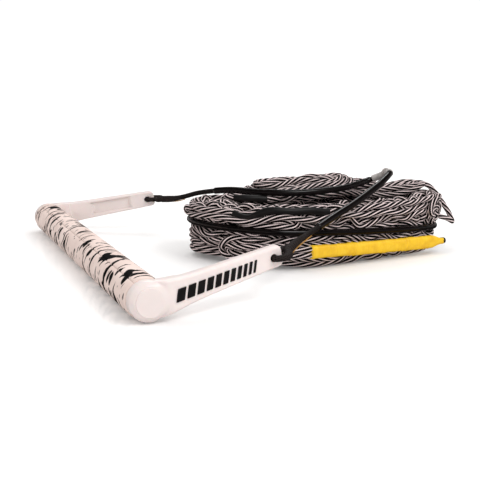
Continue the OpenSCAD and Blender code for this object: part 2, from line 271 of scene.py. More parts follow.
def sweep(path, radius, sides, closed=False, lead=None, ridge=None, hand=1, squeeze=(1.0, 1.0)):
    """Tube along a path. radius is a number or one for each point. lead is the length of one turn
    of the strands that wind round it, and ridge(around, along) scales the radius.
    squeeze is (share across, share up) for a flat tube."""
    n, t = side_vectors(path, closed)
    s = lengths(path, closed)
    count = len(path)
    twist = np.zeros(count)
    if lead is not None:
        rounds = round(s[-1] / lead) if closed else s[-1] / lead
        twist = hand * 2 * math.pi * rounds * s[:count] / s[-1]
    around = 2 * math.pi * np.arange(sides) / sides
    phi = around[None, :] + twist[:, None]
    r = np.repeat(np.broadcast_to(radius, (count,))[:, None], sides, axis=1)
    if ridge is not None:
        r = r * ridge(around[None, :], s[:count, None])
    b = np.cross(t, n)
    across, up = squeeze
    rings = (path[:, None, :] + (up * r * np.cos(phi))[:, :, None] * n[:, None, :]
             + (across * r * np.sin(phi))[:, :, None] * b[:, None, :])
    return tube_skin(rings, s, closed, None if closed else path[[0, -1]])


def round_ends(path, radius, length):
    """One radius for each point that falls to almost nothing at both ends, like a blunt cut end."""
    s = lengths(path)
    share = np.clip(np.minimum(s, s[-1] - s) / length, 0, 1)
    return radius * np.sqrt(np.maximum(1 - (1 - share) ** 2, 0.004))


def cord(name, path, radius, blunt, sides, material, body, *nodes, slot=None, **skin):
    """Finished piece of cord or sleeve with blunt ends of a length."""
    mesh = sweep(path, round_ends(path, radius, blunt), sides, **skin)
    shell(name, mesh, material, body, *nodes, slot=slot)


def smoothstep(x, lo, hi):
    t = np.clip((x - lo) / (hi - lo), 0, 1)
    return t * t * (3 - 2 * t)


def soft_noise(shape, scale, seed):
    """Smooth random field from a few waves, between about -1 and 1."""
    r = np.random.default_rng(seed)
    total = 0
    for _ in range(6):
        f = r.normal(0, 1 / scale, len(shape))
        total = total + np.sin(sum(fi * x for fi, x in zip(f, shape)) + r.uniform(0, 2 * math.pi))
    return total / 3


# ---------- material helpers ----------

def operator(name, swapped=False):
    """Method of Value that puts a math node on the tree."""
    def act(self, other=0.0):
        a, b = (other, self) if swapped else (self, other)
        return self.shader.math(name, a, b)
    return act


class Value:
    """Output of a shader node that takes part in plain arithmetic."""

    def __init__(self, shader, socket):
        self.shader, self.socket = shader, socket

    __add__, __abs__ = operator("ADD"), operator("ABSOLUTE")
    __sub__, __rsub__ = operator("SUBTRACT"), operator("SUBTRACT", True)
    __mul__, __truediv__ = operator("MULTIPLY"), operator("DIVIDE")

    def clamped(self):
        """The result of the last sum or product, kept between 0 and 1."""
        self.socket.node.use_clamp = True
        return self


class Shader:
    """Short names for building a tree of shader nodes."""

    def __init__(self, tree):
        self.tree = tree

    def node(self, kind, inputs, **props):
        n = self.tree.nodes.new(kind)
        for key, value in props.items():
            setattr(n, key, value)
        for key, value in inputs.items():
            self.feed(n.inputs[key], value)
        return n

    def value(self, kind, inputs, output=0, **props):
        return Value(self, self.node(kind, inputs, **props).outputs[output])

    def feed(self, socket, value):
        if isinstance(value, Value):
            self.tree.links.new(value.socket, socket)
        else:
            socket.default_value = value

    def math(self, operation, a, b=0.0):
        return self.value("ShaderNodeMath", {0: a, 1: b}, operation=operation)

    def wave(self, x, period=1.0):
        return self.math("SINE", x * (2 * math.pi / period))

    def place(self):
        return self.value("ShaderNodeTexCoord", {}, "Object")

    def stretched(self, scale):
        return self.value("ShaderNodeMapping", {0: self.place(), 3: scale})

    def split(self, vector):
        return [Value(self, out) for out in self.node("ShaderNodeSeparateXYZ", {0: vector}).outputs]

    def strand(self):
        """Length along the strand in millimetres, and place around it from 0 to 1."""
        return self.split(self.value("ShaderNodeUVMap", {}, uv_map="strand"))[:2]

    def ray(self, kind):
        return self.value("ShaderNodeLightPath", {}, kind)

    def vector(self, x, y, z):
        return self.value("ShaderNodeCombineXYZ", {0: x, 1: y, 2: z})

    def noise(self, scale, detail=3.0, rough=0.55, vector=None):
        inputs = {"Scale": scale, "Detail": detail, "Roughness": rough}
        inputs["Vector"] = vector if vector is not None else self.place()
        return self.value("ShaderNodeTexNoise", inputs, "Fac")

    def cells(self, scale):
        return self.value("ShaderNodeTexVoronoi", {"Vector": self.place(), "Scale": scale}, "Distance")

    def ramp(self, value, stops):
        """Colours between the two or three stops, each a place and a colour."""
        n = self.node("ShaderNodeValToRGB", {0: value})
        ramp = n.color_ramp
        while len(ramp.elements) < len(stops):
            ramp.elements.new(0.5)
        for element, (at, colour) in zip(ramp.elements, stops):
            element.position = at
            element.color = (*colour, 1)
        return Value(self, n.outputs[0])

    def mix(self, share, a, b):
        """Colour between a and b."""
        a, b = ((*c, 1) if isinstance(c, tuple) else c for c in (a, b))
        return self.value("ShaderNodeMix", {0: share, 6: a, 7: b}, 2, data_type="RGBA")

    def bump(self, height, distance, strength=1.0, under=None):
        inputs = {"Height": height, "Distance": distance, "Strength": strength}
        if under is not None:
            inputs["Normal"] = under
        return self.value("ShaderNodeBump", inputs)


MATERIALS = {}


class Surface(Shader):
    """A procedural material round one principled shader, kept in MATERIALS under its name."""

    def __init__(self, name):
        self.mat = MATERIALS[name] = bpy.data.materials.new(name)
        self.mat.use_nodes = True
        super().__init__(self.mat.node_tree)
        self.bsdf = self.tree.nodes["Principled BSDF"]

    def done(self, colour, roughness, normal, **values):
        inputs = {"Base Color": colour, "Roughness": roughness, "Normal": normal}
        inputs.update({key.replace("_", " "): value for key, value in values.items()})
        for key, value in inputs.items():
            self.feed(self.bsdf.inputs[key], value)


# ---------- materials ----------

def arm_plastic():
    s = Surface("arm_plastic")
    colour = s.ramp(s.noise(28, 4), [(0.3, (0.79, 0.695, 0.67)), (0.7, (0.86, 0.765, 0.74))])
    scuffs = s.noise(1400, 2, vector=s.stretched((0.12, 1, 1)))
    grain = s.bump(s.noise(2600, 2), 0.00004, 0.35)
    normal = s.bump(s.noise(90, 2), 0.0002, 0.3, grain)
    s.done(colour, scuffs * 0.14 + 0.24, normal, Specular_IOR_Level=0.45,
           Subsurface_Weight=0.08, Subsurface_Scale=0.004)


def moulded(name, stops, tone, shine, roughness, relief, depth, strength, **values):
    """Plain plastic or rubber. Its tone, shine and relief each have a noise: a scale and a detail."""
    s = Surface(name)
    s.done(s.ramp(s.noise(*tone), stops), s.noise(*shine) * 0.2 + roughness,
           s.bump(s.noise(*relief), depth, strength), **values)


def grip_foam():
    """Pale foam with black brush flecks that lie round the grip, and a thin dark line at its seam."""
    s = Surface("grip_eva")
    x, y, z = s.split(s.place())
    arc = s.math("ARCTAN2", x, z - GRIP_R * MM) * (GRIP_R * MM)
    far = ((y + 0.18) * 2.8).clamped()

    def brush(round_scale, y_scale, offset, cut_near, cut_far, detail):
        """Flecks stretched round the grip; the cuts say how rare they are at its two ends."""
        sway = s.noise(60, 2) * 0.012
        where = s.vector((x + offset) * round_scale, (y + sway) * y_scale, z * round_scale)
        cut = far * (cut_far - cut_near) + cut_near
        return ((s.noise(1.0, detail, 0.6, where) - cut) * 60.0).clamped()

    bold = brush(50, 118, 0.31, 0.585, 0.60, 0.9)
    thin = brush(66, 230, 1.73, 0.64, 0.655, 0.4)
    dots = brush(170, 300, 2.9, 0.70, 0.71, 0.6)
    ink = s.math("MAXIMUM", s.math("MAXIMUM", bold, thin), dots)
    streak = s.noise(1.0, 3, 0.5, s.vector(x * 160, y * 900, z * 160))
    faded = (ink * (streak * 0.3 + 0.9)).clamped()
    pale = s.ramp(s.noise(45, 4), [(0.3, (0.74, 0.59, 0.535)), (0.7, (0.84, 0.70, 0.645))])
    seam = (1.0 - abs(arc - GRIP_SEAM_ARC * MM) / (0.35 * MM)).clamped()
    pale = s.mix(seam * 0.6, pale, (0.36, 0.24, 0.19))
    colour = s.mix(faded, pale, (0.003, 0.0015, 0.0015))
    height = s.cells(1500.0) * 0.5 - ink * 0.8
    s.done(colour, s.noise(500, 2) * 0.15 + 0.62, s.bump(height, 0.00018, 0.45),
           Specular_IOR_Level=0.15)


def braid(name, dark, pale, lobes=8, pitch=3.2):
    """Woven cord, with a number of strands each way round it."""
    s = Surface(name)
    u, v = s.strand()
    weave = s.math("MAXIMUM", s.wave(v * lobes + u / pitch), s.wave(v * lobes - u / pitch))
    fluff = s.noise(2200, 3)
    # painted shade and painted highlight: the cord is coloured darker in the hollows of the weave and
    # lighter on its crowns, with a random fluff tone on top
    weave_shade_and_fluff = ((weave * 0.35 + fluff) * 0.9).clamped()
    colour = s.ramp(weave_shade_and_fluff, [(0.25, dark), (0.95, pale)])
    s.done(colour, fluff * 0.2 + 0.5, s.bump(weave + fluff * 0.35, 0.0002, 0.7),
           Specular_IOR_Level=0.12)


def line_braid():
    """Tow line: pale tracers wind round a black braid. The mesh winds with them."""
    s = Surface("line_braid")
    u, v = s.strand()
    side = abs(s.math("FRACT", v * LINE_LOBES + 0.5) - 0.5)
    bead = s.wave(u + v * 6.0, 1.25)
    half_width = bead * 0.035 + 0.19
    tracer = ((half_width - side) * 18.0).clamped()
    # painted highlight: the pale tracers are coloured brighter on each raised bead of the braid; the noise
    # gives them a random tone
    bead_highlight_and_tone = bead * 0.13 + s.noise(60, 3) * 0.55 + 0.52
    colour = s.mix((tracer * bead_highlight_and_tone).clamped(), (0.0010, 0.0006, 0.0007), (0.96, 0.80, 0.79))
    fluff = s.noise(2600, 2)
    height = tracer * 0.6 + bead * 0.35 + fluff * 0.25
    s.done(colour, fluff * 0.2 + 0.42, s.bump(height, 0.00025, 0.6), Specular_IOR_Level=0.1)


def gloss_black(name, roughness, lift=0.0):
    s = Surface(name)
    dark, dusty = (tuple(c + lift for c in tone) for tone in ((0.002, 0.001, 0.001), (0.007, 0.004, 0.004)))
    colour = s.ramp(s.noise(140, 5, 0.6), [(0.35, dark), (0.8, dusty)])
    u, _ = s.strand()
    scratch = s.noise(1.0, 3, 0.6, s.vector(u * 0.04, s.noise(900, 2), 0.0))
    s.done(colour, scratch * 0.16 + roughness, s.bump(s.noise(420, 3), 0.00012, 0.25),
           Specular_IOR_Level=0.4)


def sleeve_yellow():
    """Coated cloth: a fine weave under a soft shine, with a random tone and creases in its relief."""
    s = Surface("sleeve_yellow")
    u, v = s.strand()
    cloth = s.wave(u, 0.9) * s.wave(v, 1 / 34)
    colour = s.ramp(s.noise(120, 5, 0.6), [(0.25, (0.78, 0.42, 0.006)), (0.55, (0.90, 0.545, 0.010)),
                                           (0.85, (0.95, 0.64, 0.04))])
    crease = s.bump(s.noise(260, 4, 0.6), 0.0006, 0.45)
    s.done(colour, s.noise(600, 3) * 0.18 + 0.33, s.bump(cloth, 0.00008, 0.5, crease))


def thread_orange():
    s = Surface("stitch_thread")
    u, v = s.strand()
    ply = s.wave(v * 2.0 + u / 1.1)
    # painted shade and painted highlight: the thread is coloured darker in the grooves between its plies
    # and lighter on their crowns, over a random tone
    colour = s.ramp(ply * 0.3 + s.noise(900, 2), [(0.2, (0.30, 0.13, 0.015)), (0.8, (0.66, 0.33, 0.05))])
    s.done(colour, 0.55, s.bump(ply, 0.00012, 0.6))


def brushed_metal(name, tone, scale):
    """Metal with fine lines; scale is the smaller along the axis that the lines follow."""
    s = Surface(name)
    lines = s.noise(1.0, 4, 0.6, s.stretched(scale))
    colour = s.ramp(lines, [(0.3, tuple(0.8 * c for c in tone)), (0.7, tone)])
    s.done(colour, lines * 0.25 + 0.2, s.bump(lines, 0.00005, 0.4), Metallic=1.0)


def float_foam():
    s = Surface("float_foam")
    cells = s.cells(420.0)
    # painted shade: the foam is coloured darkest in the middle of each cell, where the bump makes a pit
    colour = s.ramp(cells, [(0.0, (0.62, 0.62, 0.58)), (0.6, (0.86, 0.86, 0.83))])
    s.done(colour, 0.8, s.bump(cells, 0.0005, 0.8))


arm_plastic()
moulded("stripe_plastic", [(0.3, (0.003, 0.002, 0.002)), (0.75, (0.010, 0.007, 0.008))],
        (300, 4), (1500, 3), 0.3, (3000, 2), 0.00005, 0.4)
grip_foam()
braid("bridle_braid", (0.002, 0.001, 0.001), (0.026, 0.019, 0.018))
braid("splice_braid", (0.0012, 0.0006, 0.0006), (0.045, 0.033, 0.031), 9, 2.6)
braid("link_cord", (0.22, 0.20, 0.19), (0.55, 0.50, 0.48), 4, 2.2)
line_braid()
gloss_black("sheath_black", 0.16)
gloss_black("id_sleeve_black", 0.4, 0.004)
moulded("sleeve_grey", [(0.3, (0.58, 0.54, 0.52)), (0.75, (0.80, 0.76, 0.735))],
        (260, 4), (700, 3), 0.22, (500, 3), 0.0002, 0.3, Transmission_Weight=0.3, IOR=1.35)
sleeve_yellow()
thread_orange()
brushed_metal("tube_metal", (0.80, 0.81, 0.83), (500, 14, 500))
brushed_metal("pin_steel", (0.62, 0.62, 0.63), (500, 500, 14))
float_foam()
moulded("seal_rubber", [(0.3, (0.012, 0.012, 0.012)), (0.8, (0.035, 0.034, 0.034))],
        (800, 4), (800, 4), 0.4, (800, 4), 0.00008, 0.5)


# ---------- grip ----------

def build_grip():
    """Foam sleeve: slightly faceted by its mould, with a thin seam along its upper side."""
    rows, sides, facets = 240, 144, 10
    lo, hi = GRIP_LO[1], GRIP_HI[1]
    y = np.linspace(lo, hi, rows)
    edge = np.minimum(y - lo, hi - y)
    y = y[:, None]
    phi = (2 * math.pi * np.arange(sides) / sides)[None, :]
    facet = np.abs(np.mod(phi * facets / (2 * math.pi), 1) - 0.5) * 2
    seam = np.exp(-((phi - GRIP_SEAM) / 0.02) ** 2)
    lump = soft_noise((phi * 3 + 0 * y, y / 14 + 0 * phi), 1.6, 11)
    r = GRIP_R - 0.05 - 0.22 * (1 - facet) ** 2 - 0.5 * seam + 0.10 * lump
    r = r - (1.1 * (1 - np.clip(edge / 1.3, 0, 1)) ** 2)[:, None]
    bore = [revolved(TUBE_R + 0.05, end, phi[0], GRIP_R) for end in (lo, hi)]
    verts = np.vstack([revolved(r, y, phi, GRIP_R)] + bore)
    skin = ring_faces(rows, sides)[:, [0, 3, 2, 1]]
    k, k2 = around_ring(sides)
    last, a, b = ((rows + ring) * sides for ring in (-1, 0, 1))
    near_ring = np.stack([k, k2, a + k2, a + k], 1)
    far_ring = np.stack([last + k2, last + k, b + k, b + k2], 1)
    tube = np.stack([a + k, a + k2, b + k2, b + k], 1)
    grip = make_object("foam_grip", verts, [skin, near_ring, far_ring, tube], "grip_eva")
    finish_piece(grip, "handle", "grip_eva", "grip_foam")


# ---------- arms ----------
# In an arm's own frame X runs from hub to tip, Y inwards from the outer face, Z across.

BLADE_TOP = [(14, 11.2), (21, 10.3), (30, 9.4), (45, 8.8), (70, 8.1)]
TIP_HALF = 7.3
TIP_ROUND = 3.5
NECK = 22
POCKET_FROM = 34.0
POCKET_DEPTH = 2.9


def outer_face(a):
    """Depth of the outer face: level over the hub, then bent into the sloping blade."""
    bend = HUB_STEP + (a - BEND_FROM) ** 2 / (2 * (BEND_TO - BEND_FROM)) * math.tan(ARM_SPLAY)
    straight = HUB_STEP + (a - BEND) * math.tan(ARM_SPLAY)
    return np.where(a < BEND_FROM, HUB_STEP, np.where(a < BEND_TO, bend, straight))


def inner_face(a):
    """Depth of the inner face: the hub's back, a short slope over the neck, then the blade."""
    blade = outer_face(a) + BLADE_Y - HUB_STEP
    slope = HUB_T + (np.clip(a, BEND_TO, NECK) - BEND_TO) * 2.2 / (NECK - BEND_TO)
    return np.maximum(np.where(a < NECK, slope, blade), np.where(a < BEND_TO, HUB_T, 0))


def arm_outline():
    """Half outline of the arm's side, from the hub's back round to the middle of the tip."""
    hub = [(HUB_R * math.cos(t), HUB_R * math.sin(t)) for t in np.linspace(math.pi, math.radians(66), 30)]
    x, z = ARM_LEN - TIP_ROUND, TIP_HALF - TIP_ROUND
    tip = [(x + TIP_ROUND * math.cos(t), z + TIP_ROUND * math.sin(t))
           for t in np.linspace(math.pi / 2, 0, 9)]
    blade = catmull([(*p, 0) for p in [hub[-1]] + BLADE_TOP + [tip[0]]], 8)[1:-1, :2]
    half = np.array(hub + [tuple(p) for p in blade] + tip + [(ARM_LEN, 0)])
    return resample(np.hstack([half, np.zeros((len(half), 1))]), 0.9)[:, :2]


def edge_drop(distance, radius):
    """How far a rounded edge falls below the face at a distance from the outline."""
    d = np.clip(radius - distance, 0, radius)
    return radius - np.sqrt(np.maximum(radius ** 2 - d ** 2, 0))


def hub_profile(r):
    """Depth of the hub's front below its flat face: a step, then a bevelled band."""
    step = HUB_STEP * smoothstep(r, HUB_FACE_R - 0.2, HUB_FACE_R + 0.35)
    band = 3.0 * np.clip((r - HUB_FACE_R - 0.5) / (HUB_R - HUB_FACE_R - 0.5), 0, 1) ** 1.5
    return step + band


def pocket_depth(a, h):
    """Depth of the recess in the inner face, with sloping sides and a round boss at each end."""
    half = 6.2 - 0.010 * (a - 43)
    side = smoothstep(half - np.abs(h - 0.2), -0.5, 0.9)
    start = smoothstep(np.hypot(a - POCKET_FROM, h), 9.2, 11.0) * (a >= POCKET_FROM)
    boss = smoothstep(np.hypot(a - EYE_A, h), 16.0, 17.4) * (a < EYE_A)
    return POCKET_DEPTH * side * start * boss


def arm_mesh():
    """Outer face, edge and inner face as rings of the outline that shrink to its middle line."""
    half = arm_outline()
    ring = np.vstack([half, half[-2:0:-1] * [1, -1]])
    count = len(ring)
    spine = np.stack([np.clip(ring[:, 0], 0, ARM_LEN - 6), np.zeros(count)], axis=1)
    shares = np.concatenate([np.linspace(1, 0.68, 26), np.linspace(0.64, 0.04, 14)])
    reach = np.linalg.norm(ring - spine, axis=1)
    verts = []
    for f in shares[::-1]:
        a, h = (spine + (ring - spine) * f).T
        on_blade = smoothstep(a, 3, 15)
        blade = outer_face(a) + edge_drop((1 - f) * reach, 2.0)
        depth = hub_profile(np.hypot(a, h)) * (1 - on_blade) + blade * on_blade
        verts.append(np.stack([a, depth, h], axis=1))
    for f in shares:
        a, h = (spine + (ring - spine) * f).T
        swell = 1.3 * np.exp(-((a - 27) / 9) ** 2) * np.cos(h / 11 * math.pi / 2) ** 2
        depth = inner_face(a) - edge_drop((1 - f) * reach, 1.7) + swell - pocket_depth(a, h)
        verts.append(np.stack([a, depth, h], axis=1))
    faces = [ring_faces(len(verts), count)]
    for row, way in ((0, -1), ((len(verts) - 1) * count, 1)):
        # the last ring is a thin slot along the spine, closed by joining its two long sides
        top = row + np.arange(len(half))
        bottom = row + (count - np.arange(len(half))) % count
        faces.append(np.stack([top[:-1], top[1:], bottom[1:], bottom[:-1]], 1)[:, ::way])
    return np.vstack(verts), faces


def lathe(profile, sides=48):
    """Solid of revolution about Y from (y, r) pairs that start and end near the axis."""
    profile = np.asarray(profile, float)
    phi = 2 * math.pi * np.arange(sides) / sides
    y, r = profile[:, :1], profile[:, 1:]
    k = np.arange(sides)
    skin = ring_faces(len(profile), sides)[:, [0, 3, 2, 1]]
    return revolved(r, y, phi), [skin, k[None, :], ((len(profile) - 1) * sides + k[::-1])[None, :]]


def spigot_profile():
    """Plug that fills the tube's end: chamfered, with a groove for the seal."""
    r = TUBE_R - 1.65
    start, end, groove, axis = HUB_T - 1.5, HUB_T + 32, HUB_T + 25, 0.4
    floor = r - 1.7
    return [(start, axis), (start, r), (groove - 1, r), (groove - 1, floor), (groove + 1, floor),
            (groove + 1, r), (end - 1, r), (end, r - 1), (end, axis)]


def eye_profile():
    """Bore of the eye, flared where it meets both faces of the blade."""
    flare, past, axis = 1.6, 8, 0.1
    out = [(-INNER_Y + flare + past, axis), (-INNER_Y + past, EYE_R + flare)]
    for y, way, first, last in ((-INNER_Y, 1, math.pi / 2, 0), (-OUTER_Y, -1, 0, math.pi / 2)):
        out += [(y + way * (flare * (math.sin(t) - 1) + 0.9), EYE_R + flare * (1 - math.cos(t)))
                for t in np.linspace(first, last, 7)]
    return out + [(-OUTER_Y - past, EYE_R + flare), (-OUTER_Y - flare - past, axis)]


def arm_to_frame(points, side):
    """Arm coordinates to the frame; side is -1 for the near arm and 1 for the far arm."""
    c, s = math.cos(ARM_TILT), math.sin(ARM_TILT)
    x, y, z = points.T
    return np.stack([x * c - z * s, -HALF_W + y, GRIP_R + x * s + z * c], axis=1) * [1, -side, 1]


def cut(obj, cutter):
    modifier = obj.modifiers.new("cut", "BOOLEAN")
    modifier.operation, modifier.solver, modifier.object = "DIFFERENCE", "EXACT", cutter
    graph = bpy.context.evaluated_depsgraph_get()
    mesh = bpy.data.meshes.new_from_object(obj.evaluated_get(graph))
    obj.modifiers.clear()
    obj.data = mesh
    bpy.data.objects.remove(cutter)


def build_arm(name, side):
    """Arm shell with its eye cut through and the spigot joined to it. The far arm is mirrored,
    so its faces are turned over."""
    way = -1 if side > 0 else 1
    verts, faces = arm_mesh()
    arm = make_object(f"{name}_arm_shell", arm_to_frame(verts, side), [f[:, ::way] for f in faces],
                      "arm_plastic")
    verts, faces = lathe(eye_profile(), 40)
    cutter = make_object("hole_cutter", (verts + [EYE[0], 0, EYE[2]]) * [1, -side, 1],
                         [f[:, ::way] for f in faces], "arm_plastic")
    verts, faces = lathe(spigot_profile())
    spigot = make_object("spigot", (verts + [0, -HALF_W, GRIP_R]) * [1, -side, 1], faces, "arm_plastic")
    for obj in (cutter, arm, spigot):
        fix_normals(obj)
    cut(arm, cutter)
    join([arm, spigot])
    shade_by_angle(arm, 38)
    finish_piece(arm, "handle", "arm_plastic", f"{name}_arm")


def fix_normals(obj):
    """Turns every face outwards, after points at the same place are made one."""
    bm = bmesh.new()
    bm.from_mesh(obj.data)
    bmesh.ops.remove_doubles(bm, verts=bm.verts, dist=1e-6)
    bmesh.ops.recalc_face_normals(bm, faces=bm.faces)
    bm.to_mesh(obj.data)
    bm.free()


def join(objects):
    with bpy.context.temp_override(active_object=objects[0], object=objects[0],
                                   selected_objects=objects, selected_editable_objects=objects):
        bpy.ops.object.join()


def shade_by_angle(obj, degrees):
    """Smooth shading with sharp edges where faces meet at more than an angle."""
    mesh = obj.data
    mesh.polygons.foreach_set("use_smooth", np.ones(len(mesh.polygons), bool))
    mesh.set_sharp_from_angle(angle=math.radians(degrees))


# ---------- bridle ----------

NEAR_POINTS = [(112, -147, 33.3), (130, -123, 34.5), (154, -100, 37.7), (185, -77, 45),
               (215, -60, 54), (246, -42, 65.6), (263, -29, 72.4)]
APEX_POINTS = [(272, -15, 73), (275, -5, 71.3), (273, 6, 67)]
FAR_POINTS = [(266, 12, 63), (251, 6, 60.5), (228, -3, 58), (187, -8, 56), (152, 4, 56.3),
              (134, 26, 56), (120, 63, 49.8), (114.5, 93, 42.7), (111, 121, 37), (106.5, 142, 34.2)]
BRIDLE_STEPS = 24
BRIDLE_POINTS = NEAR_POINTS + APEX_POINTS + FAR_POINTS
BRIDLE_SPANS = len(BRIDLE_POINTS) - 1
BRIDLE = catmull(BRIDLE_POINTS, BRIDLE_STEPS)
NEAR_SHEATH = (2.25, 6.4)
FAR_SHEATH = (BRIDLE_SPANS - 9.35, BRIDLE_SPANS - 3.5)
SPLICE_SPANS = 1.75


def bridle_part(first, last, step):
    """Stretch of the bridle between two places counted in control points."""
    a, b = int(first * BRIDLE_STEPS), int(last * BRIDLE_STEPS) + 1
    return resample(BRIDLE[a:b], step)


def woven(lobes, pitch, depth):
    """Ridge pattern of a braided cord for sweep()."""
    def ridge(around, along):
        a = np.sin(lobes * around + along * 2 * math.pi / pitch)
        b = np.sin(lobes * around - along * 2 * math.pi / pitch)
        return 1 + depth * (np.maximum(a, b) - 0.5)
    return ridge


def eye_loop(front, tail, buried, side):
    """Path of the rope through an arm's hole, from the crotch round the face and back."""
    x, z = EYE[0], EYE[2]
    out, inn = OUTER_Y, INNER_Y
    points = [front, (x + 8.6, -out - 1.2, z + 0.6), (x + 4.0, -out - 2.9, z + 0.3),
              (x + 0.6, -out - 2.2, z), (x, -out + 1.5, z), (x, -inn - 1.5, z),
              (x + 0.6, -inn + 2.4, z), (x + 4.0, -inn + 3.9, z + 0.2),
              (x + 8.0, -inn + 4.6, z + 0.4), tail, buried]
    return [np.array(p) * [1, -side, 1] for p in points]


def build_splice(name, side, path, front, tail):
    """Thick end of the bridle: it tapers out of the cord, runs through the eye and is buried."""
    z = EYE[2]
    taper = resample(path[:int(SPLICE_SPANS * BRIDLE_STEPS)], 0.8)[::-1]
    s = lengths(taper)
    thick = CORD_R + (SPLICE_R - CORD_R) * smoothstep(s / s[-1], 0.0, 0.75)
    buried = path[int(0.62 * BRIDLE_STEPS)] * [1, -side, 1]
    loop = eye_loop((*front, z + 0.9), (*tail, z + 1.0), buried, side)
    loop = resample(catmull([taper[-2], path[0]] + loop, 10)[10:], 0.8)
    widths = CORD_R + 0.75 * np.exp(-((lengths(loop) - 13) / 8) ** 2)
    widths[0:8] = np.linspace(SPLICE_R, widths[8], 8)
    whole = np.vstack([taper, loop[1:]])
    radii = round_ends(whole, 1.0, 1.2) * np.concatenate([thick, widths[1:]])
    shell(f"{name}_splice_rope", sweep(whole, radii, 36, ridge=woven(9, 4.4, 0.07)),
          "splice_braid", "bridle", f"{name}_eye_splice", slot="bridle_braid")


def build_stitch(name, path):
    """Orange thread in small stitches along the underside of a splice."""
    run = resample(path[int(0.30 * BRIDLE_STEPS):int(1.95 * BRIDLE_STEPS)], 2.2)
    drop = SPLICE_R + 0.02 - (SPLICE_R - CORD_R) * smoothstep(lengths(run), 25, 60)
    wave = np.where(np.arange(len(run)) % 2 == 0, 0.3, -0.1)
    ahead = unit(np.gradient(run, axis=0))
    low = np.array([0.30, 0.66 if name == "far" else -0.66, -0.68])
    low = unit(low - ahead * (ahead @ low)[:, None])
    line = catmull(run + low * (drop + wave)[:, None], 4)
    cord(f"{name}_stitch_thread", line, 0.42, 0.5, 10, "stitch_thread", "bridle", f"{name}_lock_stitch")


def build_bridle():
    rope = sweep(bridle_part(1.5, BRIDLE_SPANS - 1.5, 0.8), CORD_R, 32, ridge=woven(8, 5.0, 0.05))
    shell("bridle_cord", rope, "bridle_braid", "bridle", "bridle_rope")
    for name, side, path, front, tail in (("near", -1, BRIDLE, (107.3, -159.8), (111.5, -140)),
                                          ("far", 1, BRIDLE[::-1], (108.3, -157), (101.8, -140.5))):
        build_splice(name, side, path, front, tail)
        build_stitch(name, path)
    for name, (first, last) in (("near", NEAR_SHEATH), ("far", FAR_SHEATH)):
        cord(f"{name}_sheath_tube", bridle_part(first, last, 1.5), SHEATH_R, 0.8, 28,
             "sheath_black", "bridle", f"{name}_sheath",
             ridge=lambda around, along: 1 + 0.012 * np.sin(along / 9 + 2 * around))
    cord("apex_tube", bridle_part(NEAR_SHEATH[1], FAR_SHEATH[0], 0.9), SHEATH_R + 0.25, 0.7, 32,
         "sleeve_grey", "bridle", "apex_sleeve",
         ridge=lambda around, along: 1 + 0.025 * np.sin(along / 1.7 + 1.5 * np.sin(around)))


def build_link():
    """Thin cord that ties the line to the apex: a ring round the sleeve and a stem down to the hank."""
    middle = joint_mm("bridle_lift")
    at = np.argmin(np.linalg.norm(BRIDLE - middle, axis=1))
    along = unit(BRIDLE[at + 2] - BRIDLE[at - 2])
    down = unit(np.array([0, 0, -1.0]) - along * -along[2])
    side = np.cross(along, down)
    t = np.linspace(-0.9, 0.9, 30) * math.pi
    ring = SHEATH_R + 1.0
    loop = middle + np.outer(-np.cos(t), down) * ring + np.outer(np.sin(t), side) * ring
    stem = middle + down * ring + np.array([(-4, 3, -5), (-10, 6, -9), (-18, 7, -14)])
    points = np.vstack([stem[::-1] - side * 0.9, loop, stem + side * 0.9])
    cord("link_cord", resample(catmull(points, 4), 0.5), 0.85, 0.6, 14, "link_cord", "line",
         "link_loop", slot="bridle_braid", ridge=woven(4, 2.2, 0.1))


# ---------- hank ----------
# Turns of line are laid out in hank coordinates (a, b, z) and pushed apart until they rest on
# each other like real coils.

SAMPLE = 4.0
BEND_LIMIT = 1.1
TOUCH = 0.97
PAIR_REACH = 7.5
PAIR_ROUNDS = 6
PUSH_SHARE = 0.42
PUSH_MOST = 1.5
MOVE_MOST = 1.2
SMOOTHING = 0.3
PULL_HOME = 0.02
PULL_AT_END = 0.005
SINK = 0.02
COATED_GAP_R = 3.0
ID_SLEEVE_GAP_R = 2.9
LOOP_SLEEVE_GAP_R = 3.6
LAYERS = 10
LAYER_RISE = 5.05
COLUMNS = 4
LOWER_LAYERS = 4
UPPER_FROM = 7
WAIST_Z = 27

# Outer edge of the hank seen from above: the front left corner is cut and the left end leans back
OUTLINE = catmull([(-124, -2, 0), (-115, -22, 0), (-96, -43, 0), (-72, -52, 0), (-38, -56, 0), (8, -58, 0),
                   (58, -55, 0), (96, -44, 0), (117, -20, 0), (121, 6, 0), (112, 33, 0), (82, 53, 0),
                   (30, 60, 0), (-30, 63, 0), (-82, 67, 0), (-112, 60, 0), (-125, 40, 0), (-128, 18, 0)],
                  12, True)

# Rise of the crown above the rest of the hank, along its length
RIDGE_MIDDLE = 27
RIDGE_PLACES = [-120, -88, -62, -18, 38, 64, 92, 112, 128]
RIDGE_RISES = [0, 8, 15, 20, 17, 11, 9, 13, 6]

# The three tiers of crown turns: the middle of each along the hank, and half its length
CROWN_TIERS = ((15, 100), (-9, 81), (-13, 58))
TIER_TURNS = 4

# The turns that carry a dark sleeve, how far out they lie and the stretch that is covered
ID_TURNS = {
    (9, 0): ("id_sleeve_front", 0.3, lambda a, b: (a > -119) & (a < -46) & (b < 4)),
    (LAYERS, 4): ("id_sleeve_left", 0.0, lambda a, b: (a < -64) & (b < 24)),
    (8, 0): ("id_sleeve_right", 3.5, lambda a, b: (a > 92) & (b > -34) & (b < 10)),
}


def turn_normals(loop):
    """Level directions that point out of a turn."""
    t = unit(np.roll(loop, -1, axis=0) - np.roll(loop, 1, axis=0))
    return np.stack([t[:, 1], -t[:, 0], np.zeros(len(t))], axis=1)


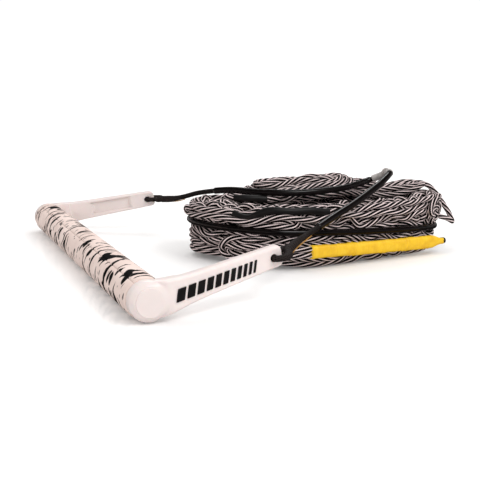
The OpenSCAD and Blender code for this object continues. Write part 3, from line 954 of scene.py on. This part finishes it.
def plan_loop(inset):
    """Path of a turn that lies inset from the hank's outer edge, anticlockwise from above."""
    loop = resample(OUTLINE, 2.0, True)
    loop = loop - turn_normals(loop) * inset
    for _ in range(int(inset)):
        loop = (np.roll(loop, 1, axis=0) + 2 * loop + np.roll(loop, -1, axis=0)) / 4
    return loop


def polar_outline():
    """Distance from the middle to the outline for each direction, and how far the wall there is."""
    middle = np.array([0, 3.0, 0])
    p = resample(OUTLINE, 2.0, True)
    q = p - middle
    angle = np.arctan2(q[:, 1], q[:, 0])
    order = np.argsort(angle)
    wall = np.sum(q * turn_normals(p), axis=1)
    return middle, angle[order], np.linalg.norm(q, axis=1)[order], wall[order]


def wave_field(s, total, waves, amplitude, r):
    """Closed random wave along a turn."""
    out = np.zeros(len(s))
    for h in waves:
        out += r.normal(0, 1) * np.sin(2 * math.pi * h * s / total + r.uniform(0, 2 * math.pi))
    return amplitude * out / math.sqrt(len(waves) / 2)


def waist(z):
    """How far the stack is pulled in beside the coated turn, at a height."""
    return 3.2 * np.exp(-((z - WAIST_Z) / 6) ** 2)


def pinch(loop, z):
    """Height of a turn with the upper bundle squeezed down at the front left corner."""
    near = np.exp(-((loop[:, 0] + 110) / 12) ** 2 - ((loop[:, 1] + 20) / 14) ** 2)
    return z - 0.55 * near * np.clip(z - 36, 0, 20)


def ridge_middle(a):
    """Place of the crown's ridge across the hank."""
    return RIDGE_MIDDLE - 32 * smoothstep(a, 40, 110)


def stacked_turns(r):
    """Turns in layers and columns, each with a slow twist and waves of its own."""
    turns = []
    for layer in range(LAYERS):
        z = LINE_R + 0.2 + layer * LAYER_RISE
        inset = LINE_R + (2.4 if layer < LOWER_LAYERS else 0.4) + waist(z)
        group = "lower" if layer < LOWER_LAYERS else "middle" if layer < UPPER_FROM else "upper"
        for column in range(COLUMNS if layer != LOWER_LAYERS else COLUMNS - 1):
            loop = resample(plan_loop(inset + column * 5.0), SAMPLE, True)
            s = lengths(loop, True)
            total, s = s[-1], s[:-1]
            twist = 2 * math.pi * s / total * round(total / r.uniform(40, 90)) * r.choice([-1, 1])
            phase = r.uniform(0, 2 * math.pi)
            calm = 0.25 if (layer, column) in ID_TURNS else 1.0
            out = calm * (2.4 * np.cos(twist + phase) + wave_field(s, total, range(3, 19), 1.8, r))
            up = calm * (2.8 * np.sin(twist + phase) + wave_field(s, total, range(3, 19), 2.6, r))
            path = loop + turn_normals(loop) * out[:, None]
            path[:, 2] = pinch(loop, z + up)
            turns.append({"path": path, "closed": True, "tag": (layer, column), "group": group})
    return turns


def crown_turns(r):
    """Long narrow turns in three tiers on the back of the hank."""
    turns = []
    for k in range(len(CROWN_TIERS) * TIER_TURNS):
        tier, place = divmod(k, TIER_TURNS)
        middle, reach = CROWN_TIERS[tier]
        half_a, half_b = reach - 3.0 * place, 21 - 4.4 * place
        t = np.linspace(0, 2 * math.pi, 400, endpoint=False)
        a = middle + half_a * np.sign(np.cos(t)) * np.abs(np.cos(t)) ** 0.8
        loop = resample(np.stack([a, ridge_middle(a) + half_b * np.sin(t), 0 * t], axis=1), SAMPLE, True)
        s = lengths(loop, True)
        total, s = s[-1], s[:-1]
        path = loop + turn_normals(loop) * (1.6 * np.sin(2 * math.pi * s / total * 3 + k))[:, None]
        rise = 53.5 + 5.6 * tier + 7 * np.exp(-((loop[:, 0] - 106) / 20) ** 2)
        path[:, 2] = rise + wave_field(s, total, range(2, 7), 1.6, r)
        turns.append({"path": path, "closed": True, "tag": (LAYERS, k), "group": "crown"})
    return turns


def bights():
    """Strands that fold back at the left end of the lower bundle, one inside another."""
    out = []
    middle, widest = 14.5, 8.6
    legs = [(-36, -52), (-66, -50), (-91, -41), (-108, -25), (-118, -9)]
    for radius, inset, back in ((widest, 1.5, -16), (5.4, 1.0, -32), (2.6, 0.8, -48)):
        top = [(a, b + inset, middle + radius) for a, b in legs]
        nose = [(-122, 5 - 2.2 * (widest - radius), middle)]
        low = [(a, b + inset, middle - radius) for a, b in legs[::-1]]
        ends = [(back + 8, -44, middle + radius), (back + 10, -42, middle - radius)]
        path = resample(catmull([ends[0]] + top + nose + low + [ends[1]], 8), SAMPLE)
        out.append({"path": path, "closed": False, "tag": "bight", "group": "lower"})
    return out


def curl(middle, radius, tilt, facing):
    """Small kinked loop that sits half buried in the hank."""
    t = np.linspace(0, 2 * math.pi, 40, endpoint=False)
    flat = np.stack([radius * 1.25 * np.cos(t), radius * np.sin(t), 1.2 * np.sin(2 * t)], axis=1)
    turn = Matrix.Rotation(facing, 3, "Z") @ Matrix.Rotation(tilt, 3, "X")
    path = resample(flat @ np.array(turn).T + middle, 3.6, True)
    return {"path": path, "closed": True, "tag": "curl", "group": "upper"}


def curls():
    """Kinked loops: a chaotic knot at the right end and a few at the top of the left end."""
    r = np.random.default_rng(61)
    out = []
    for k in range(7):
        a = 90 + 3.6 * k
        place = (a, -46 + 0.03 * (a - 90) ** 2, 34 + 12 * r.random())
        out.append(curl(place, r.uniform(4.5, 7.5), r.uniform(1.0, 1.9), r.uniform(-0.3, 0.9)))
    for _ in range(6):
        place = (-112 + 34 * r.random(), -6 + 34 * r.random(), 45 + 4 * r.random())
        out.append(curl(place, r.uniform(4.5, 7), r.uniform(0.1, 0.9), r.uniform(0, math.pi)))
    out.append(curl((-121, 44, 43.5), 4.6, 0.35, 2.2))
    return out


def coated_path():
    """The turn of coated line round the waist, a little lower at the right."""
    loop = resample(plan_loop(2.2), 3.0, True)
    loop[:, 2] = 25.8 - 0.050 * loop[:, 0]
    return loop


def under_bridle(x, bridle):
    """Highest centre line that passes below the bridle, where it lies across the hank."""
    gap = np.hypot(x[:, None, 0] - bridle[None, :, 0], x[:, None, 1] - bridle[None, :, 1])
    nearest = np.argmin(gap, axis=1)
    return bridle[nearest, 2] - SHEATH_R - LINE_R - 0.3 + 1.6 * np.maximum(0, gap.min(axis=1) - 5)


def ceiling(a, b):
    """Highest centre line over a place: low at the ends, with the crown's ridge along the back."""
    base = 49.0 - 4.0 * smoothstep(np.abs(a), 90, 125)
    crest = np.interp(a, RIDGE_PLACES, RIDGE_RISES)
    return base + crest * np.exp(-((b - ridge_middle(a)) / 21) ** 2)


def hold_inside(x, outline, slack, bridle):
    """Keeps centre lines above the ground, under the ceiling and inside the outer wall."""
    middle, angles, reach, wall = outline
    low = smoothstep(22 - x[:, 2], 0, 8)
    inset = LINE_R + waist(x[:, 2]) - slack
    inset = inset + low * (2.0 + 10 * smoothstep(-x[:, 0], 50, 112) * smoothstep(-x[:, 1], -34, -2))
    q = x - middle
    angle = np.arctan2(q[:, 1], q[:, 0])
    limit = np.interp(angle, angles, reach, period=2 * math.pi)
    limit *= 1 - inset / np.interp(angle, angles, wall, period=2 * math.pi)
    flat = np.hypot(q[:, 0], q[:, 1])
    scale = np.minimum(1, limit / np.maximum(flat, 1e-6))
    x[:, :2] = middle[:2] + q[:, :2] * scale[:, None]
    lift = 4.5 * smoothstep(-x[:, 0], 62, 108)
    top = np.minimum(ceiling(x[:, 0], x[:, 1]), under_bridle(x, bridle))
    x[:, 2] = np.clip(x[:, 2], LINE_R + lift, top)
    return x


def close_pairs(x, owner, place, counts):
    """Pairs of points that lie close, apart from near neighbours on the same turn."""
    tree = kdtree.KDTree(len(x))
    for i, p in enumerate(x):
        tree.insert(p, i)
    tree.balance()
    pairs = [(i, j) for i, p in enumerate(x) for _, j, _ in tree.find_range(p, PAIR_REACH) if j > i]
    i, j = np.array(pairs).T
    gap = np.abs(place[i] - place[j])
    gap = np.minimum(gap, counts[i] - gap)
    keep = (owner[i] != owner[j]) | (gap > 3)
    return i[keep], j[keep]


def push_apart(x, i, j, radius, moving):
    """Move that parts the pairs that overlap. A point beside a fixed one takes both shares."""
    d = x[i] - x[j]
    dist = np.maximum(np.linalg.norm(d, axis=1), 1e-6)
    push = np.clip((radius[i] + radius[j]) * TOUCH - dist, 0, PUSH_MOST)
    move = d / dist[:, None] * (push * PUSH_SHARE)[:, None]
    i_free, j_free = i < moving, j < moving
    total = np.zeros_like(x)
    np.add.at(total, i, move * (np.where(j_free, 1.0, 2.0) * i_free)[:, None])
    np.add.at(total, j, -move * (np.where(i_free, 1.0, 2.0) * j_free)[:, None])
    size = np.linalg.norm(total, axis=1, keepdims=True)
    return total * np.minimum(1, MOVE_MOST / np.maximum(size, 1e-6))


def relax(turns, obstacles, bridle, rounds):
    """Pushes turns apart until they touch without crossing, and keeps each one smooth. An obstacle
    is a path that stays where it is, with its radius. The turns pass below the bridle."""
    paths = [t["path"] for t in turns] + [p for p, _ in obstacles]
    radii = [LINE_R] * len(turns) + [q for _, q in obstacles]
    rounds_of = [len(t["path"]) for t in turns] + [10 ** 6] * len(obstacles)
    x = np.concatenate(paths)
    moving = sum(len(t["path"]) for t in turns)
    radius = np.concatenate([np.full(len(p), q) for p, q in zip(paths, radii)])
    owner = np.concatenate([np.full(len(p), min(k, len(turns))) for k, p in enumerate(paths)])
    place = np.concatenate([np.arange(len(p)) for p in paths])
    counts = np.concatenate([np.full(len(p), n) for p, n in zip(paths, rounds_of)])
    loose = {"curl": 4.0, "bight": 8.0, **{tag: out for tag, (_, out, _) in ID_TURNS.items()}}
    slack = np.concatenate([np.full(len(t["path"]), loose.get(t["tag"], 0.0)) for t in turns])
    before, after = np.arange(len(x)), np.arange(len(x))
    start = 0
    for t in turns:
        own = t["own"] = np.arange(start, start + len(t["path"]))
        if t["closed"]:
            before[own], after[own] = np.roll(own, 1), np.roll(own, -1)
        else:
            before[own[1:-1]], after[own[1:-1]] = own[:-2], own[2:]
        if t["tag"] in ID_TURNS:
            t["sleeved"] = ID_TURNS[t["tag"]][2](t["path"][:, 0], t["path"][:, 1])
            radius[own] = np.where(t["sleeved"], ID_SLEEVE_GAP_R, LINE_R)
        start += len(own)
    target = x.copy()
    outline = polar_outline()
    for step in range(rounds):
        if step % PAIR_ROUNDS == 0:
            i, j = close_pairs(x, owner, place, counts)
        x += push_apart(x, i, j, radius, moving)
        shift = x - target
        smooth = (shift[before] + shift[after]) / 2 - shift
        pull = PULL_HOME if step < rounds * 0.6 else PULL_AT_END
        x[:moving] += SMOOTHING * smooth[:moving] - pull * shift[:moving]
        x[:moving, 2] -= SINK
        bend = (x[before] + x[after]) / 2 - x
        sharp = np.linalg.norm(bend, axis=1, keepdims=True)
        ease = bend * np.maximum(0, 1 - BEND_LIMIT / np.maximum(sharp, 1e-6))
        x[:moving] += 0.5 * ease[:moving]
        x[:moving] = hold_inside(x[:moving], outline, slack, bridle)
    for t in turns:
        t["path"] = x[t["own"]]


def line_ridge(around, along):
    return 1 + 0.05 * np.cos(LINE_LOBES * around) + 0 * along


def line_mesh(path, closed, r):
    """One length of tow line with its pale strands winding round it."""
    fine = resample(catmull(path, 3, closed), 2.1, closed)
    return sweep(fine, LINE_R * 0.985, 18, closed, lead=r.uniform(40, 70), ridge=line_ridge,
                 hand=r.choice([-1, 1]))


def build_id_sleeve(turn):
    """Flat dark sleeve over a stretch of one turn, with square ends."""
    node = ID_TURNS[turn["tag"]][0]
    run = np.flatnonzero(turn["sleeved"])
    breaks = np.flatnonzero(np.diff(run) > 1)
    if len(breaks):
        run = np.roll(run, -(breaks[0] + 1))
    path = resample(catmull(from_hank(turn["path"][run]), 3), 1.2)
    cord(f"dark_{node}", path, SLEEVE_R, 0.6, 24, "id_sleeve_black", "line", node,
         squeeze=(0.94, 1.08), ridge=lambda around, along: 1 + 0.02 * np.sin(along / 4 + 2 * around))


def build_hank():
    start = np.random.default_rng(21)
    turns = stacked_turns(start) + crown_turns(start) + bights() + curls()
    coated = coated_path()
    far_part = to_hank(bridle_part(7, BRIDLE_SPANS - 3, SAMPLE))
    near_part = to_hank(bridle_part(2.5, 7, SAMPLE))
    sleeve = np.array([TAIL_START + TAIL_DIR * 4, TAIL_START + TAIL_DIR * TAIL_LEN])
    sleeve = to_hank(resample(sleeve, SAMPLE))
    obstacles = [(coated, COATED_GAP_R), (far_part, SHEATH_R + 0.4), (near_part, SHEATH_R + 0.4)]
    obstacles += [(sleeve + [0, 0, rise], LOOP_SLEEVE_GAP_R) for rise in (-3, 0, 3)]
    relax(turns, obstacles, far_part, 140)
    r = np.random.default_rng(5)
    for group in ("lower", "middle", "upper", "crown"):
        lines = [line_mesh(from_hank(t["path"]), t["closed"], r) for t in turns if t["group"] == group]
        shell(f"{group}_coils", merged(lines), "line_braid", "line", f"{group}_turns")
    for t in turns:
        if t["tag"] in ID_TURNS:
            build_id_sleeve(t)
    skin = sweep(from_hank(coated), SLEEVE_R, 28, True,
                 ridge=lambda around, along: 1 + 0.015 * np.sin(along / 11 + around))
    shell("coated_coil", skin, "sheath_black", "line", "coated_turn")


# ---------- loose turn and boat loop ----------

def build_loose_turn():
    """Strand that hangs out at the right end."""
    points = [(60, 4, 52), (92, -4, 58), (112, -17, 56), (119, -34, 37), (120, -43, 24),
              (111, -45, 27), (99, -38, 31)]
    mesh = line_mesh(catmull(from_hank(points), 6), False, np.random.default_rng(8))
    shell("loose_coil", mesh, "line_braid", "line", "loose_turn")


def build_loop_strands():
    """Doubled line from the hank into the sleeve, bending over a short stretch at the joint."""
    gap = LINE_R + 0.12
    z = TAIL_START[2]
    lead = from_hank([(-104, -30, z - 2), (-101, -44, z), (-90, -56, z), (-78, -61.8, z)])
    run = [TAIL_START + TAIL_DIR * d for d in (12, 45, 90, TAIL_LEN - 14)]
    path = catmull(np.vstack([lead, run]), 10)
    r = np.random.default_rng(3)
    verts, faces, uvs = merged([line_mesh(path + [0, 0, rise], False, r) for rise in (-gap, gap)])
    strands = make_object("boat_loop_strands", verts, faces, "line_braid", uvs)
    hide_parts("tail_lead", "pylon_loop")
    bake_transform(strands)


def build_loop_sleeve():
    """Flat yellow sleeve with creases, sewn ridges and a narrow nose."""
    path = resample(np.array([TAIL_START - TAIL_DIR * 0.5, TAIL_START + TAIL_DIR * (TAIL_LEN - 4)]), 0.7)
    s = lengths(path)
    around = 2 * math.pi * np.arange(56) / 56
    nose = smoothstep(s, s[-1] - 15, s[-1] - 2)
    mouth = 1 + 0.03 * np.exp(-s / 4)
    tall = ((5.3 + 0.5 * s / s[-1]) * (1 - nose) + 3.0 * nose) * mouth
    thick = (3.4 * (1 - nose) + 2.8 * nose) * mouth
    for at in (2.5, 42, 46, 105, 109, s[-1] - 20):
        ridge = np.exp(-((s - at) / 0.8) ** 2)
        tall = tall * (1 + 0.05 * ridge)
        thick = thick * (1 + 0.11 * ridge)
    c, sn = np.cos(around), np.sin(around)
    square = 2.6
    squircle = (np.abs(c) ** square + np.abs(sn) ** square) ** (-1 / square)
    grid_s, grid_a = np.meshgrid(s, around, indexing="ij")
    crease = 0.35 * soft_noise((grid_s / 3.2, 2.0 * np.cos(grid_a), 2.0 * np.sin(grid_a)), 1.3, 77)
    crease += 0.16 * soft_noise((grid_s / 1.1, 2.5 * np.cos(grid_a), 2.5 * np.sin(grid_a)), 1.2, 78)
    up = tall[:, None] * squircle * c + crease * c * 0.6
    across = thick[:, None] * squircle * sn + crease * sn
    rings = path[:, None, :] + up[:, :, None] * [0, 0, 1.0] + across[:, :, None] * TAIL_SIDE
    rings[:, :, 2] -= (0.5 * np.sin(s / s[-1] * math.pi))[:, None]
    skin = tube_skin(rings, s, False, rings[[0, -1]].mean(axis=1))
    shell("yellow_sleeve", skin, "sleeve_yellow", "boat_loop", "loop_sleeve")


def build_boat_loop():
    build_loop_strands()
    build_loop_sleeve()
    end = TAIL_START + TAIL_DIR * (TAIL_LEN - 7)
    tip = catmull([end, end + TAIL_DIR * 4, end + TAIL_DIR * 6.8], 8)
    cord("loop_tip", tip, SLEEVE_R, 2.2, 24, "bridle_braid", "boat_loop", slot="line_braid",
         ridge=woven(8, 3.0, 0.05))


def dress_cad_nodes():
    """Materials for the CAD nodes inside the bar and for the arms' stripes. The stripes' edges are
    rounded by modifiers, which leave their own mesh as it is."""
    dress = {"core_tube": "tube_metal", "float_core": "float_foam", "near_seal": "seal_rubber",
             "far_seal": "seal_rubber", "near_pin": "pin_steel", "far_pin": "pin_steel",
             "near_stripes": "stripe_plastic", "far_stripes": "stripe_plastic"}
    for name, material in dress.items():
        node = frame["nodes"][name]
        node.data.materials.clear()
        node.data.materials.append(MATERIALS[material])
    for name in ("near_stripes", "far_stripes"):
        node = frame["nodes"][name]
        weld = node.modifiers.new("weld", "WELD")
        weld.merge_threshold = 0.02 * MM
        bevel = node.modifiers.new("bevel", "BEVEL")
        bevel.width, bevel.segments, bevel.limit_method = 0.22 * MM, 2, "ANGLE"
        bevel.angle_limit = math.radians(30)


# ---------- stage, in metres ----------

WORLD_LOW = 0.80
WORLD_RISE = 0.25
MIDDLE = (0.15, 0, 0.02)
CAMERA_AT = (-0.14557, -0.70187, 0.14790)
CAMERA_YAW, CAMERA_PITCH, CAMERA_ROLL = (math.radians(d) for d in (21.750, -9.962, 1.0186))
CAMERA_LENS, CAMERA_SENSOR = 66.08, 36


def build_floor():
    """Pale floor with a faint shine. The camera sees it a little brighter, most of all far away."""
    bpy.ops.mesh.primitive_plane_add(size=60, location=(0.15, 0, 0))
    floor = bpy.context.active_object
    floor.name = "floor"
    s = Surface("floor")
    diffuse = s.value("ShaderNodeBsdfDiffuse", {"Color": (0.97, 0.965, 0.96, 1)})
    gloss = s.value("ShaderNodeBsdfAnisotropic", {"Color": (1, 1, 1, 1), "Roughness": 0.1})
    mixed = s.value("ShaderNodeMixShader", {0: 0.18, 1: diffuse, 2: gloss})
    x, y, _ = s.split(s.place())
    away = ((x * x + y * y - 0.12) * 0.5).clamped()
    strength = s.ray("Is Camera Ray") * (away * 0.35 + 0.12)
    glow = s.value("ShaderNodeEmission", {"Color": (1, 0.985, 0.98, 1), "Strength": strength})
    lifted = s.value("ShaderNodeAddShader", {0: mixed, 1: glow})
    dim = s.value("ShaderNodeEmission", {"Color": (1, 0.97, 0.95, 1), "Strength": 0.04})
    seen = s.value("ShaderNodeMixShader", {0: s.ray("Is Glossy Ray"), 1: lifted, 2: dim})
    s.feed(s.tree.nodes["Material Output"].inputs["Surface"], seen)
    s.tree.nodes.remove(s.bsdf)
    floor.data.materials.append(s.mat)


def build_world():
    """White studio that is brightest overhead. Shiny faces mirror only a band at the horizon."""
    world = bpy.data.worlds.new("studio")
    bpy.context.scene.world = world
    world.use_nodes = True
    s = Shader(world.node_tree)
    height = s.split(s.value("ShaderNodeTexCoord", {}, "Generated"))[2]
    glossy = s.ray("Is Glossy Ray")
    soft = s.math("MAXIMUM", height, 0.0) * WORLD_RISE + WORLD_LOW
    band = (1.0 - abs(height) * 2.6).clamped()
    mirrored = band * band * 0.55 + 0.02
    level = glossy * mirrored + (1.0 - glossy) * soft
    back = s.tree.nodes["Background"]
    s.feed(back.inputs["Color"], (1, 0.99, 0.985, 1))
    s.feed(back.inputs["Strength"], s.math("MAXIMUM", level, s.ray("Is Camera Ray") * 1.05))


def softbox(name, place, size, power):
    data = bpy.data.lights.new(name, "AREA")
    data.shape, data.size, data.size_y, data.energy = "RECTANGLE", size[0], size[1], power
    lamp = bpy.data.objects.new(name, data)
    bpy.context.scene.collection.objects.link(lamp)
    lamp.location = place
    lamp.rotation_euler = (Vector(MIDDLE) - Vector(place)).to_track_quat("-Z", "Y").to_euler()


def build_camera():
    """Camera at the photo's view angle; yaw turns it right, pitch up and roll anticlockwise."""
    yaw, pitch, roll = CAMERA_YAW, CAMERA_PITCH, CAMERA_ROLL
    ahead = Vector((math.sin(yaw) * math.cos(pitch), math.cos(yaw) * math.cos(pitch), math.sin(pitch)))
    right = Vector((math.cos(yaw), -math.sin(yaw), 0))
    up = right.cross(ahead)
    x = right * math.cos(roll) + up * math.sin(roll)
    y = up * math.cos(roll) - right * math.sin(roll)
    data = bpy.data.cameras.new("camera")
    data.lens, data.sensor_width = CAMERA_LENS, CAMERA_SENSOR
    data.clip_start, data.clip_end = 0.01, 50
    camera = bpy.data.objects.new("camera", data)
    bpy.context.scene.collection.objects.link(camera)
    turn = Matrix((x, y, -ahead)).transposed().to_4x4()
    camera.matrix_world = Matrix.Translation(CAMERA_AT) @ turn
    bpy.context.scene.camera = camera


build_grip()
build_arm("near", -1)
build_arm("far", 1)
build_bridle()
build_link()
build_hank()
build_loose_turn()
build_boat_loop()
dress_cad_nodes()
build_floor()
build_world()
softbox("key", (0.55, -0.75, 0.9), (0.7, 0.3), 5)
softbox("rim", (0.5, 0.9, 1.0), (1.0, 0.3), 4)
build_camera()
bpy.context.scene.view_settings.view_transform = "Standard"
